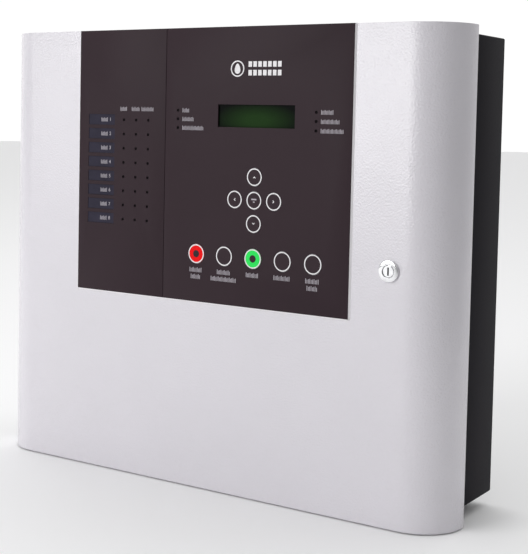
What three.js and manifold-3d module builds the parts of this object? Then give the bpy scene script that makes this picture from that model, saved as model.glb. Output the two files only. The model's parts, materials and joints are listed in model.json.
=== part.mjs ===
// Fire alarm control panel: a black steel back box, and a pale door with rounded sides, hinged on its left.
// Millimetres. X runs right, Y runs back to the wall, Z runs up. The origin is the middle of the wall face.
import * as THREE from 'three';
import { mergeVertices } from 'three/addons/utils/BufferGeometryUtils.js';
import Module from 'manifold-3d';

const wasm = await Module();
wasm.setup();

// ---- Driving dimensions ----
const SHEET = 1.5;                       // steel sheet of the box and the door
const GAP = 0.3;                         // clearance between pieces that touch
const ROUND_SIDES = 24;

const DOOR = { half: 204, bottom: -175, top: 171, front: -100, rear: -64.5, bend: 34 };
DOOR.bendCentre = DOOR.front + DOOR.bend;
DOOR.inner = DOOR.front + SHEET;         // inside of the flat front
const BOX = { half: 197, halfHeight: 166, front: -62, rim: 14 };
const KEYHOLE = { places: [[-150, 128], [150, 128], [0, -41]], r: 4.5, slotHalf: 2.5, slotUp: 9 };
const CABLE_ENTRY = { half: 60, bottom: 138, top: 158 };

const HINGE = { x: -199, y: -72, pinR: 1.5, holeR: 1.58, eyeR: 2.5, tab: 2 };
HINGE.levels = { bottom: -132, top: 128 };
HINGE.notch = { wide: 10, front: -79, below: 3, above: 5 };
HINGE.lug = { left: -190, right: -184, down: 14, armX: -187, armR: 2.5 };
HINGE.bracket = { left: -172, right: -152, up: 14, armX: -168, armY: -94, armR: 3.9 };
HINGE.pinHead = { r: 2.3, tall: 1.5 };

const OVERLAY = { left: -118.6, divider: -32.75, seam: 0.2, right: 129, bottom: -33.5 };
OVERLAY.face = -101.3;
OVERLAY.back = -100.3;
const DISPLAY = { x: 49, z: 106, w: 66.6, h: 16.6, lap: 2, slotHalf: 36, slotHalfHeight: 11 };
DISPLAY.moduleHalf = 35;
DISPLAY.moduleHalfHeight = 10.6;
const GLASS = { front: -99.9, back: -98.9 };
const PAD = { x: 49, z: 45, pitch: 17, ring: 5.95 };
const ROW = { z: 2.5, pitch: 25.4, ring: 6.67 };
const KEY = { rim: 0.5, stemR: 3, holeR: 3.6, capBack: -100.65, stemBack: -95, fit: 0.35 };
const FRONT_BOARD = { front: -94, back: -92.4 };
const LIGHT = { r: 0.8, holeR: 1.15, bar: 2.6, barFront: -97.8, barBack: -95.4 };
const ZONES = { count: 8, top: 101.5, pitch: 11.05, columns: [-73.3, -61.3, -49.4] };
const ZONE_WINDOW = { left: -109, right: -82.5, h: 8.3, edge: 1 };
const STATUS = { columns: [-21, 99.8], rows: [109.6, 103.1, 96.5] };
const SLOT_EDGE = 3;                     // door slot round a column of lights, past the outer lights' centres
const LOCK = { x: 159.3, z: 2.6, headR: 7.6, bodyR: 6, plugR: 4.2, boreR: 4.4, tailR: 2.5, camReach: 21 };
LOCK.camFront = -74.9;
LOCK.camBack = -72.9;
LOCK.bodyBack = -78;
LOCK.nutR = 9;
LOCK.nutDeep = 3;
const KEEP = { left: 178, right: 192, lipFront: -77, half: 12.5, footLeft: 184.5, footRight: 196 };

// ---- Solid helpers ----
function solid(geometry) {
  const bare = geometry.clone();
  bare.deleteAttribute('normal');
  bare.deleteAttribute('uv');
  const merged = mergeVertices(bare, 1e-4);
  const mesh = new wasm.Mesh({
    numProp: 3,
    vertProperties: new Float32Array(merged.attributes.position.array),
    triVerts: new Uint32Array(merged.index.array),
  });
  return new wasm.Manifold(mesh);
}

function box(x0, x1, y0, y1, z0, z1) {
  const geometry = new THREE.BoxGeometry(x1 - x0, y1 - y0, z1 - z0);
  geometry.translate((x0 + x1) / 2, (y0 + y1) / 2, (z0 + z1) / 2);
  return solid(geometry);
}

// A round bar along Y, from y0 to y1.
function barY(x, z, r, y0, y1, sides = ROUND_SIDES) {
  const geometry = new THREE.CylinderGeometry(r, r, y1 - y0, sides);
  geometry.translate(x, (y0 + y1) / 2, z);
  return solid(geometry);
}

// A round bar along Z, from z0 to z1.
function barZ(x, y, r, z0, z1, sides = ROUND_SIDES) {
  const geometry = new THREE.CylinderGeometry(r, r, z1 - z0, sides);
  geometry.rotateX(Math.PI / 2);
  geometry.translate(x, y, (z0 + z1) / 2);
  return solid(geometry);
}

// A plan outline in X and Y, raised along Z.
function plate(shape, z0, z1, curveSegments = 10) {
  const geometry = new THREE.ExtrudeGeometry(shape, { depth: z1 - z0, bevelEnabled: false, curveSegments });
  geometry.translate(0, 0, z0);
  return solid(geometry);
}

function joined(parts) {
  return parts.reduce((sum, part) => sum.add(part));
}

function cut(body, tools) {
  return tools.reduce((rest, tool) => rest.subtract(tool), body);
}

function toMesh(name, manifold, material) {
  const { vertProperties, triVerts } = manifold.getMesh();
  const geometry = new THREE.BufferGeometry();
  geometry.setAttribute('position', new THREE.BufferAttribute(new Float32Array(vertProperties), 3));
  geometry.setIndex(new THREE.BufferAttribute(new Uint32Array(triVerts), 1));
  geometry.computeVertexNormals();
  const mesh = new THREE.Mesh(geometry, material);
  mesh.name = name;
  return mesh;
}

// ---- Materials ----
function paint(color, roughness, metalness = 0) {
  return new THREE.MeshStandardMaterial({ color, roughness, metalness });
}

const LOOK = {
  doorPaint: paint(0xdad8de, 0.45),
  boxPaint: paint(0x26242a, 0.55),
  zinc: paint(0xb9bbc0, 0.35, 0.9),
  chrome: paint(0xe6e7ea, 0.15, 1),
  film: paint(0x3c3439, 0.4),
  filmKey: paint(0x40383d, 0.4),
  redKey: paint(0xe01418, 0.4),
  greenKey: paint(0x3ce664, 0.4),
  display: paint(0x23391f, 0.2),
  label: paint(0x46485a, 0.5),
  lens: paint(0x2a2226, 0.25),
  board: paint(0x1e5b34, 0.5),
  plasticBlack: paint(0x1c1c1e, 0.5),
  plasticGreen: paint(0x2f7d46, 0.5),
  plasticWhite: paint(0xd9d8d0, 0.5),
  copper: paint(0xb06a35, 0.4, 0.8),
  steelCore: paint(0x6d6f73, 0.5, 0.7),
  battery: paint(0x3a3d42, 0.55),
  redWire: paint(0xb5191b, 0.5),
  blackWire: paint(0x18181a, 0.5),
  ribbon: paint(0x8d9199, 0.55),
};

const root = new THREE.Group();
root.name = 'fire_alarm_control_panel';

function add(name, manifold, material) {
  root.add(toMesh(name, manifold, material));
}

// ---- Keys: five on the navigation pad, five in the bottom row ----
const KEYS = [
  { name: 'key_up', x: PAD.x, z: PAD.z + PAD.pitch, r: PAD.ring },
  { name: 'key_down', x: PAD.x, z: PAD.z - PAD.pitch, r: PAD.ring },
  { name: 'key_left', x: PAD.x - PAD.pitch, z: PAD.z, r: PAD.ring },
  { name: 'key_right', x: PAD.x + PAD.pitch, z: PAD.z, r: PAD.ring },
  { name: 'key_enter', x: PAD.x, z: PAD.z, r: PAD.ring },
];
const ROW_KEYS = ['key_silence_buzzer', 'key_silence_alarm', 'key_reset', 'key_evacuate', 'key_accept_delay'];
ROW_KEYS.forEach((name, i) => {
  KEYS.push({ name, x: PAD.x + (i - 2) * ROW.pitch, z: ROW.z, r: ROW.ring });
});
const zoneRow = (i) => ZONES.top - ZONES.pitch * i;

// ---- Back box ----
function backBox() {
  const { half, halfHeight: tall, front, rim } = BOX;
  const shell = box(-half, half, front, 0, -tall, tall);
  const hollow = box(-half + SHEET, half - SHEET, front + SHEET, -SHEET, -tall + SHEET, tall - SHEET);
  const mouth = box(-half + rim, half - rim, front - 1, front + SHEET + 1, -tall + rim, tall - rim);
  const keyholes = KEYHOLE.places.flatMap(([x, z]) => [
    barY(x, z, KEYHOLE.r, -SHEET - 1, 1, 16),
    box(x - KEYHOLE.slotHalf, x + KEYHOLE.slotHalf, -SHEET - 1, 1, z, z + KEYHOLE.slotUp),
  ]);
  const entry = CABLE_ENTRY;
  const cableEntry = box(-entry.half, entry.half, -SHEET - 1, 1, entry.bottom, entry.top);
  return cut(shell, [hollow, mouth, cableEntry, ...keyholes]);
}

// ---- Door shell: flat front that bends round both sides, with returns along the top and the bottom ----
function doorProfile(inset) {
  const { half, bend, bendCentre, rear } = DOOR;
  const shape = new THREE.Shape();
  shape.moveTo(-half + inset, rear);
  shape.lineTo(-half + inset, bendCentre);
  shape.absarc(-half + bend, bendCentre, bend - inset, Math.PI, Math.PI * 1.5, false);
  shape.absarc(half - bend, bendCentre, bend - inset, Math.PI * 1.5, Math.PI * 2, false);
  shape.lineTo(half - inset, rear);
  shape.closePath();
  return shape;
}

function doorCuts() {
  const behind = DOOR.inner + 2;
  const ahead = DOOR.front - 2;
  const keyHoles = KEYS.map(({ x, z }) => barY(x, z, KEY.holeR, ahead, behind, 16));
  const slot = (x, low, high) =>
    box(x - SLOT_EDGE, x + SLOT_EDGE, ahead, behind, low - SLOT_EDGE, high + SLOT_EDGE);
  const lightSlots = ZONES.columns.map((x) => slot(x, zoneRow(ZONES.count - 1), zoneRow(0)));
  const statusSlots = STATUS.columns.map((x) => slot(x, Math.min(...STATUS.rows), Math.max(...STATUS.rows)));
  const { left, right, h, edge } = ZONE_WINDOW;
  const cardHalf = h / 2 + edge + 0.35;
  const labelSlot = box(left - edge, right + edge, ahead, behind,
    zoneRow(ZONES.count - 1) - cardHalf, zoneRow(0) + cardHalf);
  const display = box(DISPLAY.x - DISPLAY.slotHalf, DISPLAY.x + DISPLAY.slotHalf, ahead, behind,
    DISPLAY.z - DISPLAY.slotHalfHeight, DISPLAY.z + DISPLAY.slotHalfHeight);
  const lockHole = barY(LOCK.x, LOCK.z, LOCK.bodyR + GAP, ahead, behind);
  const { wide, front, below, above } = HINGE.notch;
  const hingeNotches = Object.values(HINGE.levels).map((z) =>
    box(-DOOR.half - 1, -DOOR.half + wide, front, DOOR.rear + 1, z - below, z + above));
  return [...keyHoles, ...lightSlots, ...statusSlots, labelSlot, display, lockHole, ...hingeNotches];
}

function doorShell() {
  const { half, bend, bottom, top, inner } = DOOR;
  const outside = plate(doorProfile(0), bottom, top, 14);
  const inside = plate(doorProfile(SHEET), bottom - 1, top + 1, 14);
  const returns = [[bottom, bottom + SHEET], [top - SHEET, top]].map(([z0, z1]) =>
    box(-half + bend, half - bend, inner - 0.5, inner + 20, z0, z1));
  return cut(joined([outside.subtract(inside), ...returns]), doorCuts());
}

// ---- Front films ----
function zoneOverlay() {
  const { left, divider, seam, face, back, bottom } = OVERLAY;
  const film = box(left, divider - seam, face, back, bottom, DOOR.top);
  const holes = ZONES.columns.flatMap((x) => Array.from({ length: ZONES.count }, (_, i) =>
    barY(x, zoneRow(i), LIGHT.holeR, OVERLAY.face - 1, OVERLAY.back + 1, 10)));
  const windows = Array.from({ length: ZONES.count }, (_, i) => box(ZONE_WINDOW.left, ZONE_WINDOW.right,
    OVERLAY.face - 1, OVERLAY.back + 1, zoneRow(i) - ZONE_WINDOW.h / 2, zoneRow(i) + ZONE_WINDOW.h / 2));
  return cut(film, [...holes, ...windows]);
}

function controlOverlay() {
  const { divider, seam, right, face, back, bottom } = OVERLAY;
  const film = box(divider + seam, right, face, back, bottom, DOOR.top);
  const keyHoles = KEYS.map(({ x, z, r }) =>
    barY(x, z, r + KEY.rim + KEY.fit, OVERLAY.face - 1, OVERLAY.back + 1));
  const lights = STATUS.columns.flatMap((x) => STATUS.rows.map((z) =>
    barY(x, z, LIGHT.holeR, OVERLAY.face - 1, OVERLAY.back + 1, 10)));
  const window = box(DISPLAY.x - DISPLAY.w / 2, DISPLAY.x + DISPLAY.w / 2, OVERLAY.face - 1, OVERLAY.back + 1,
    DISPLAY.z - DISPLAY.h / 2, DISPLAY.z + DISPLAY.h / 2);
  return cut(film, [...keyHoles, ...lights, window]);
}

// A key is a thin cap level with the film, and a stem that reaches its switch.
function key({ x, z, r }) {
  const cap = barY(x, z, r + KEY.rim, OVERLAY.face, KEY.capBack);
  const stem = barY(x, z, KEY.stemR, KEY.capBack - 0.1, KEY.stemBack, 16);
  return cap.add(stem);
}

// The window lies behind the film, and the display module behind the window.
function displayWindow() {
  const { x, z, w, h, lap } = DISPLAY;
  return box(x - w / 2 - lap, x + w / 2 + lap, GLASS.front, GLASS.back, z - h / 2 - lap, z + h / 2 + lap);
}

function lcdModule() {
  const { x, z, moduleHalf, moduleHalfHeight: tall } = DISPLAY;
  return box(x - moduleHalf, x + moduleHalf, GLASS.back + GAP, FRONT_BOARD.front - GAP, z - tall, z + tall);
}

function zoneLabelCard() {
  const { left, right, h, edge } = ZONE_WINDOW;
  const half = h / 2 + edge + 0.05;
  const [low, high] = [zoneRow(ZONES.count - 1) - half, zoneRow(0) + half];
  return box(left - 0.6, right + 0.6, GLASS.front, GLASS.front + 0.6, low, high);
}

// A light bar is a strip on the door's inner face with one round lens for each light.
function lightBar(x, rows) {
  const { r, bar, barFront, barBack } = LIGHT;
  const strip = box(x - bar, x + bar, barFront, barBack, Math.min(...rows) - bar, Math.max(...rows) + bar);
  const lenses = rows.map((z) => barY(x, z, r, OVERLAY.face + 0.25, barFront + 0.2, 10));
  return joined([strip, ...lenses]);
}

// ---- Boards behind the door ----
const DISPLAY_BOARD = { left: -28, right: 124, bottom: -12, top: 128 };
const ZONE_BOARD = { left: -114, right: -36, bottom: 12, top: 128 };

function standoffs(board, margin) {
  return [[board.left + margin, board.bottom + margin], [board.right - margin, board.bottom + margin],
    [board.left + margin, board.top - margin], [board.right - margin, board.top - margin]];
}

// A spacer with a shoulder that carries the board, and a stud through the board's hole.
function boardStandoff(x, z) {
  const spacer = barY(x, z, 3, DOOR.inner + GAP, FRONT_BOARD.front - GAP, 6);
  const stud = barY(x, z, 1.4, FRONT_BOARD.front - GAP - 0.1, FRONT_BOARD.back + 3, 10);
  return spacer.add(stud);
}

function frontBoard(board, margin) {
  const sheet = box(board.left, board.right, FRONT_BOARD.front, FRONT_BOARD.back, board.bottom, board.top);
  const holes = standoffs(board, margin).map(([x, z]) =>
    barY(x, z, 1.7, FRONT_BOARD.front - 1, FRONT_BOARD.back + 1, 10));
  return cut(sheet, holes);
}

// ---- Lock ----
function lockBarrel() {
  const head = barY(LOCK.x, LOCK.z, LOCK.headR, OVERLAY.face - 0.4, DOOR.front - GAP);
  const body = barY(LOCK.x, LOCK.z, LOCK.bodyR, DOOR.front - GAP - 0.1, LOCK.bodyBack);
  const bore = barY(LOCK.x, LOCK.z, LOCK.boreR, OVERLAY.face - 2, LOCK.bodyBack + 2);
  return head.add(body).subtract(bore);
}

function lockNut() {
  const front = DOOR.inner + GAP;
  const nut = barY(LOCK.x, LOCK.z, LOCK.nutR, front, front + LOCK.nutDeep, 6);
  return nut.subtract(barY(LOCK.x, LOCK.z, LOCK.bodyR + GAP, front - 1, front + LOCK.nutDeep + 1));
}

function lockPlug() {
  const plug = barY(LOCK.x, LOCK.z, LOCK.plugR, OVERLAY.face - 0.2, LOCK.camFront - GAP);
  const tail = barY(LOCK.x, LOCK.z, LOCK.tailR, LOCK.camFront - GAP - 0.1, LOCK.camBack + 1.2, 16);
  const keyway = box(LOCK.x - 0.6, LOCK.x + 0.6, OVERLAY.face - 1, -92, LOCK.z - 2.8, LOCK.z + 2.8);
  return plug.add(tail).subtract(keyway);
}

// The cam hangs down when the lock is open, and swings a quarter turn behind the keep to lock.
function lockCam() {
  const { x, z, camFront, camBack, camReach } = LOCK;
  const hub = barY(x, z, 7, camFront, camBack);
  const arm = box(x - 5, x + 5, camFront, camBack, z - camReach, z);
  const tip = barY(x, z - camReach, 5, camFront, camBack);
  return joined([hub, arm, tip]).subtract(barY(x, z, LOCK.tailR + GAP, camFront - 1, camBack + 1));
}

// A folded catch on the box's right rim. The cam turns in behind its lip.
function lockKeep() {
  const { left, right, lipFront, half, footLeft, footRight } = KEEP;
  const z0 = LOCK.z - half;
  const z1 = LOCK.z + half;
  const foot = box(footLeft, footRight, BOX.front - GAP - SHEET, BOX.front - GAP, z0, z1);
  const upright = box(right - SHEET, right, lipFront, BOX.front - GAP, z0, z1);
  const lip = box(left, right, lipFront, lipFront + SHEET, z0, z1);
  return joined([foot, upright, lip]);
}

// ---- Hinges: a lug on the box's left rim, and a bracket on the door whose tab sits just above it ----
function eyeTab(far, z0) {
  const { x, y, eyeR, tab } = HINGE;
  const along = Math.atan2(far.y - y, far.x - x);
  const shape = new THREE.Shape();
  shape.absarc(x, y, eyeR, along + Math.PI / 2, along + Math.PI * 1.5, false);
  shape.absarc(far.x, far.y, far.r, along - Math.PI / 2, along + Math.PI / 2, false);
  shape.closePath();
  return plate(shape, z0, z0 + tab, 8);
}

const eyeHole = (z) => barZ(HINGE.x, HINGE.y, HINGE.holeR, z - 2, z + 5);

function boxHingeLug(z) {
  const back = BOX.front - GAP;
  const { left, right, down, armX, armR } = HINGE.lug;
  const foot = box(left, right, back - HINGE.tab, back, z - down, z + HINGE.tab);
  const tab = eyeTab({ x: armX, y: back - armR - 0.1, r: armR }, z);
  return tab.add(foot).subtract(eyeHole(z));
}

function doorHingeBracket(z) {
  const z0 = z + HINGE.tab + GAP;
  const { left, right, up, armX, armY, armR } = HINGE.bracket;
  const base = box(left, right, DOOR.inner + GAP, DOOR.inner + GAP + HINGE.tab, z0, z0 + up);
  const tab = eyeTab({ x: armX, y: armY, r: armR }, z0);
  return tab.add(base).subtract(eyeHole(z0));
}

function hingePin(z) {
  const tabTop = z + 2 * HINGE.tab + GAP;
  const shaft = barZ(HINGE.x, HINGE.y, HINGE.pinR, z - 2, tabTop + GAP + 0.1);
  const head = barZ(HINGE.x, HINGE.y, HINGE.pinHead.r, tabTop + GAP, tabTop + GAP + HINGE.pinHead.tall);
  return shaft.add(head);
}

// ---- Inside the box ----
const MAIN_BOARD = { left: -150, right: 60, bottom: -30, top: 128, front: -13.1, back: -11.5 };
const SHELF = { left: -182, right: 134, under: -151, top: -149.5, front: -70 };
const CELL = { w: 151, deep: 64.5, h: 94, lefts: [-179, -25], floor: -149.2, back: -3.7 };

function boxStandoff(x, z) {
  const spacer = barY(x, z, 3.5, MAIN_BOARD.back + GAP, -SHEET - GAP, 6);
  const stud = barY(x, z, 1.4, MAIN_BOARD.front - 3, MAIN_BOARD.back + GAP + 0.1, 10);
  return spacer.add(stud);
}

function mainBoard() {
  const { left, right, bottom, top, front, back } = MAIN_BOARD;
  const holes = standoffs(MAIN_BOARD, 6).map(([x, z]) => barY(x, z, 1.7, front - 1, back + 1, 10));
  return cut(box(left, right, front, back, bottom, top), holes);
}

// A row of screw terminals: a stepped block with a wire mouth under each screw.
const TERMINAL = { pitch: 5, depth: 12, tall: 10, step: 7, stepDeep: 3, mouthTall: 4, wall: 1 };

function terminalRow({ left, bottom, ways }) {
  const { pitch, depth, tall, step, stepDeep, mouthTall, wall } = TERMINAL;
  const back = MAIN_BOARD.front - GAP;
  const front = back - depth;
  const right = left + ways * pitch;
  const low = box(left, right, front, back, bottom, bottom + step);
  const high = box(left, right, front + stepDeep, back, bottom, bottom + tall);
  const mouths = Array.from({ length: ways }, (_, i) => {
    const start = left + i * pitch;
    return box(start + wall, start + pitch - wall, front + 2, back - 2, bottom - 1, bottom + mouthTall);
  });
  return cut(low.add(high), mouths);
}

function batteryShelf() {
  const { left, right, under, top, front } = SHELF;
  const tray = box(left, right, front, -SHEET - GAP, under, top);
  const lip = box(left, right, front, front + SHEET, under, under + 12);
  const upstand = box(left, right, -SHEET - GAP - SHEET, -SHEET - GAP, under, under + 20);
  const legs = [-150, 100].map((x) =>
    box(x, x + SHEET, -58, -4, -BOX.halfHeight + SHEET + GAP, under + 0.1));
  return joined([tray, lip, upstand, ...legs]);
}

function battery(left) {
  const { w, deep, h, floor, back } = CELL;
  const block = box(left, left + w, back - deep, back, floor, floor + h);
  const top = floor + h;
  const posts = [left + 14, left + w - 14].map((x) =>
    box(x - 3, x + 3, back - 16, back - 10, top - 1, top + 5));
  return joined([block, ...posts]);
}

function batteryStrap() {
  const left = CELL.lefts[0];
  const right = CELL.lefts[1] + CELL.w;
  const front = CELL.back - CELL.deep - GAP;
  const z0 = CELL.floor + 46;
  const band = box(left - 2.5, right + 2.5, front - 1.2, front, z0, z0 + 14);
  const ends = [left - 2.5, right + 1.3].map((x) => box(x, x + 1.2, front - 0.1, -SHEET - GAP, z0, z0 + 14));
  return joined([band, ...ends]);
}

// A round lead swept along a smooth curve through its points.
function lead(points) {
  const path = new THREE.CatmullRomCurve3(points.map((p) => new THREE.Vector3(...p)));
  const section = new THREE.Shape();
  section.absarc(0, 0, LEAD_R, 0, Math.PI * 2, false);
  const options = { extrudePath: path, steps: LEAD_STEPS, curveSegments: 4, bevelEnabled: false };
  return solid(new THREE.ExtrudeGeometry(section, options));
}

const LEADS = {
  battery_lead_red: [
    [-42, -16.7, -49.6], [-42, -16.7, -42], [-30, -20, -35],
    [-5, -23, -38], [20, -21, -36], [27.5, -19.4, -29],
  ],
  battery_lead_black: [
    [112, -16.7, -49.6], [112, -16.7, -42], [98, -20, -36],
    [70, -23, -36], [44, -22, -38], [32.5, -19.4, -29],
  ],
};
const LEAD_R = 1.6;
const LEAD_STEPS = 22;

// A flat cable from the main board to the door's boards, with slack where it crosses the hinge side.
const RIBBON = { z0: 40, wide: 25, half: 0.5 };
RIBBON.plan = [[-151, -20], [-168, -26], [-180, -42], [-181, -62], [-172, -76], [-150, -84], [-117, -88]];

function ribbonCable() {
  const { z0, wide, half, plan } = RIBBON;
  const path = new THREE.CatmullRomCurve3(plan.map(([x, y]) => new THREE.Vector3(x, y, z0)));
  const outline = new THREE.Shape();
  const outer = path.getPoints(30);
  const offset = (sign) => outer.map((p, i) => {
    const t = path.getTangent(i / 30);
    return new THREE.Vector2(p.x - t.y * sign * half, p.y + t.x * sign * half);
  });
  outline.setFromPoints([...offset(1), ...offset(-1).reverse()]);
  return plate(outline, z0, z0 + wide);
}

// An E-shaped core on two feet, with the coil round its middle limb.
const CORE = { x0: 88, x1: 148, front: -52, back: -10, z0: 40, z1: 96, yoke: 12, foot: 8 };
CORE.limb = [108, 128];
CORE.slots = [98, 138];
const COIL = { fit: 0.4, proud: 5 };     // clearance round the coil, and how far it stands out of the core

function transformerCore() {
  const { x0, x1, front, back, z0, z1, yoke, foot, limb, slots } = CORE;
  const core = box(x0, x1, front, back, z0, z1);
  const windows = [[slots[0], limb[0]], [limb[1], slots[1]]].map(([a, b]) =>
    box(a, b, front - 1, back + 1, z0 + yoke, z1 - yoke));
  const feet = [[z0, z0 + foot], [z1 - foot, z1]].map(([a, b]) =>
    box(x0 - foot, x1 + foot, back - 0.1, -SHEET - GAP, a, b));
  return joined([cut(core, windows), ...feet]);
}

function transformerCoil() {
  const { front, back, z0, z1, yoke, limb, slots } = CORE;
  const { fit, proud } = COIL;
  const bottom = z0 + yoke + fit;
  const top = z1 - yoke - fit;
  const block = box(slots[0] + fit, slots[1] - fit, front - proud, back + proud, bottom, top);
  return block.subtract(box(limb[0] - fit, limb[1] + fit, front - fit, back + fit, z0, z1));
}

// A threaded stud in the box's back wall, with a nut on it.
const EARTH = { x: 160, z: -42, studR: 3, front: -16, nutR: 6, nutFront: -6 };

function earthStud() {
  const { x, z, studR, front, nutR, nutFront } = EARTH;
  const foot = -SHEET - GAP;
  return barY(x, z, studR, front, foot, 12).add(barY(x, z, nutR, nutFront, foot, 6));
}

// ---- Assembly ----
function addCase() {
  add('back_box', backBox(), LOOK.boxPaint);
  add('door_shell', doorShell(), LOOK.doorPaint);
  Object.entries(HINGE.levels).forEach(([level, z]) => {
    add(`box_hinge_lug_${level}`, boxHingeLug(z), LOOK.zinc);
    add(`door_hinge_bracket_${level}`, doorHingeBracket(z), LOOK.zinc);
    add(`hinge_pin_${level}`, hingePin(z), LOOK.zinc);
  });
  add('lock_keep', lockKeep(), LOOK.zinc);
  add('lock_barrel', lockBarrel(), LOOK.chrome);
  add('lock_nut', lockNut(), LOOK.zinc);
  add('lock_plug', lockPlug(), LOOK.chrome);
  add('lock_cam', lockCam(), LOOK.zinc);
}

function addFront() {
  add('zone_overlay', zoneOverlay(), LOOK.film);
  add('control_overlay', controlOverlay(), LOOK.film);
  const colours = { key_silence_buzzer: LOOK.redKey, key_reset: LOOK.greenKey };
  KEYS.forEach((k) => add(k.name, key(k), colours[k.name] ?? LOOK.filmKey));
  add('display_window', displayWindow(), LOOK.display);
  add('lcd_module', lcdModule(), LOOK.plasticBlack);
  add('zone_label_card', zoneLabelCard(), LOOK.label);
  const zoneRows = Array.from({ length: ZONES.count }, (_, i) => zoneRow(i));
  ['fire', 'fault', 'disable'].forEach((word, i) =>
    add(`zone_light_bar_${word}`, lightBar(ZONES.columns[i], zoneRows), LOOK.lens));
  ['left', 'right'].forEach((side, i) =>
    add(`status_light_bar_${side}`, lightBar(STATUS.columns[i], STATUS.rows), LOOK.lens));
  add('display_board', frontBoard(DISPLAY_BOARD, 6), LOOK.board);
  add('zone_board', frontBoard(ZONE_BOARD, 4), LOOK.board);
  standoffs(DISPLAY_BOARD, 6).forEach(([sx, sz], i) =>
    add(`display_board_standoff_${i + 1}`, boardStandoff(sx, sz), LOOK.zinc));
}

function addInside() {
  standoffs(MAIN_BOARD, 6).forEach(([x, z], i) =>
    add(`main_board_standoff_${i + 1}`, boxStandoff(x, z), LOOK.zinc));
  add('main_board', mainBoard(), LOOK.board);
  add('zone_terminals', terminalRow({ left: -132, bottom: 112, ways: 16 }), LOOK.plasticGreen);
  add('output_terminals', terminalRow({ left: -40, bottom: 112, ways: 16 }), LOOK.plasticGreen);
  add('battery_terminals', terminalRow({ left: 20, bottom: -28, ways: 4 }), LOOK.plasticGreen);
  add('controller_chip', box(-70, -42, -16.2, MAIN_BOARD.front - GAP, 30, 58), LOOK.plasticBlack);
  add('alarm_relay', box(-10, 9, -29, MAIN_BOARD.front - GAP, 80, 95.5), LOOK.plasticWhite);
  add('transformer_core', transformerCore(), LOOK.steelCore);
  add('transformer_coil', transformerCoil(), LOOK.copper);
  add('mains_terminal_block', box(140, 172, -20, -SHEET - GAP, -20, 0), LOOK.plasticWhite);
  add('earth_stud', earthStud(), LOOK.zinc);
  add('battery_shelf', batteryShelf(), LOOK.zinc);
  CELL.lefts.forEach((left, i) => add(['battery_left', 'battery_right'][i], battery(left), LOOK.battery));
  add('battery_strap', batteryStrap(), LOOK.plasticBlack);
  add('battery_lead_red', lead(LEADS.battery_lead_red), LOOK.redWire);
  add('battery_lead_black', lead(LEADS.battery_lead_black), LOOK.blackWire);
  add('ribbon_cable', ribbonCable(), LOOK.ribbon);
}

addCase();
addFront();
addInside();

export default root;
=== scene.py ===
"""Fire alarm control panel: its visual model, with materials, a pale floor, lights and a camera. Metres."""
import json
import math

import bmesh
import bpy
from mathutils import Matrix, Vector


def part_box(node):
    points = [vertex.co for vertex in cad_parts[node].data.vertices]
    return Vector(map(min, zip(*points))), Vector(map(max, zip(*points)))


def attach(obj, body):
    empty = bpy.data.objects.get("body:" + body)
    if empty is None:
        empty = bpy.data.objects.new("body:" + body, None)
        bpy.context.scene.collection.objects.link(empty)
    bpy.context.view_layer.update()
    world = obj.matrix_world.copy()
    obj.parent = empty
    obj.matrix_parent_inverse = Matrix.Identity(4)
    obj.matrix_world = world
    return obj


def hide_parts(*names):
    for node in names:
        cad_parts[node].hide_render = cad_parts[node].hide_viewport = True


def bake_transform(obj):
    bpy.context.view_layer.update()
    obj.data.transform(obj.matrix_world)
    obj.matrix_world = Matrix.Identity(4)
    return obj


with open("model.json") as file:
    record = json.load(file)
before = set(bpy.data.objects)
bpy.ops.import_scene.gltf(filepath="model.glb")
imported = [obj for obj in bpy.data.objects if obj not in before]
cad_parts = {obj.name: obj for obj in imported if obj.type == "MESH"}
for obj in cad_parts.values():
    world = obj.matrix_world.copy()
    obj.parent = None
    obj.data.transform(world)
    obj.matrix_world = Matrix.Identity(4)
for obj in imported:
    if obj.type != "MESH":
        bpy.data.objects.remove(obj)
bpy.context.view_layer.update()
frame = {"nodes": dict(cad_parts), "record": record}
NODES = frame["nodes"]
MM = 0.001


def mm(*values):
    """Millimetres as metres."""
    return tuple(value * MM for value in values)


def span(node):
    """A CAD node's lowest and highest corners, as two vectors."""
    low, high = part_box(node)
    return Vector(low), Vector(high)


def middle(node):
    """The centre of a CAD node's box."""
    low, high = span(node)
    return (low + high) / 2


# ---- Places worked out from the frame ----
DOOR_LOW, DOOR_HIGH = span("door_shell")
BOX_LOW, BOX_HIGH = span("back_box")
ZONE_LOW, ZONE_HIGH = span("zone_overlay")
FILM_LOW, FILM_HIGH = span("control_overlay")
LOCK = middle("lock_barrel")
FILM_FACE = FILM_LOW.y
SHEET = 1.5 * MM
BEND = 34 * MM
PRINT = 0.06 * MM  # how far a printed mark stands proud of its film
ZONE_COUNT = 8
ZONE_PITCH = 11.05 * MM
ZONE_TOP = 101.5 * MM
ZONE_WINDOW = mm(-109, -82.5)
ZONE_WINDOW_HEIGHT = 8.3 * MM
PAD_KEYS = ["key_up", "key_down", "key_left", "key_right", "key_enter"]
ROW_KEYS = ["key_silence_buzzer", "key_silence_alarm", "key_reset", "key_evacuate", "key_accept_delay"]
KEYS = PAD_KEYS + ROW_KEYS
KEY_EDGE = 0.5 * MM  # cap outside the middle of its printed ring
KEY_FIT = 0.35 * MM  # gap between a cap and the film
RING_WIDTH = 0.85 * MM
LIGHT_HOLE = 1.15 * MM
ZONE_COLUMNS = mm(-73.3, -61.3, -49.4)
STATUS_COLUMNS = mm(-21, 99.8)
STATUS_ROWS = mm(109.6, 103.1, 96.5)
DISPLAY_OPENING = mm(66.6, 16.6)
CORE_LIMB = mm(108, 128)  # left and right of the transformer's middle limb
CORE_BACK = -10 * MM
CORE_GAP = 0.4 * MM
KEYHOLES = ((-150, 128), (150, 128), (0, -41))  # x, z in millimetres
KEYHOLE = mm(4.5, 2.5, 9)  # radius of its eye, half width and height of its slot
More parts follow.
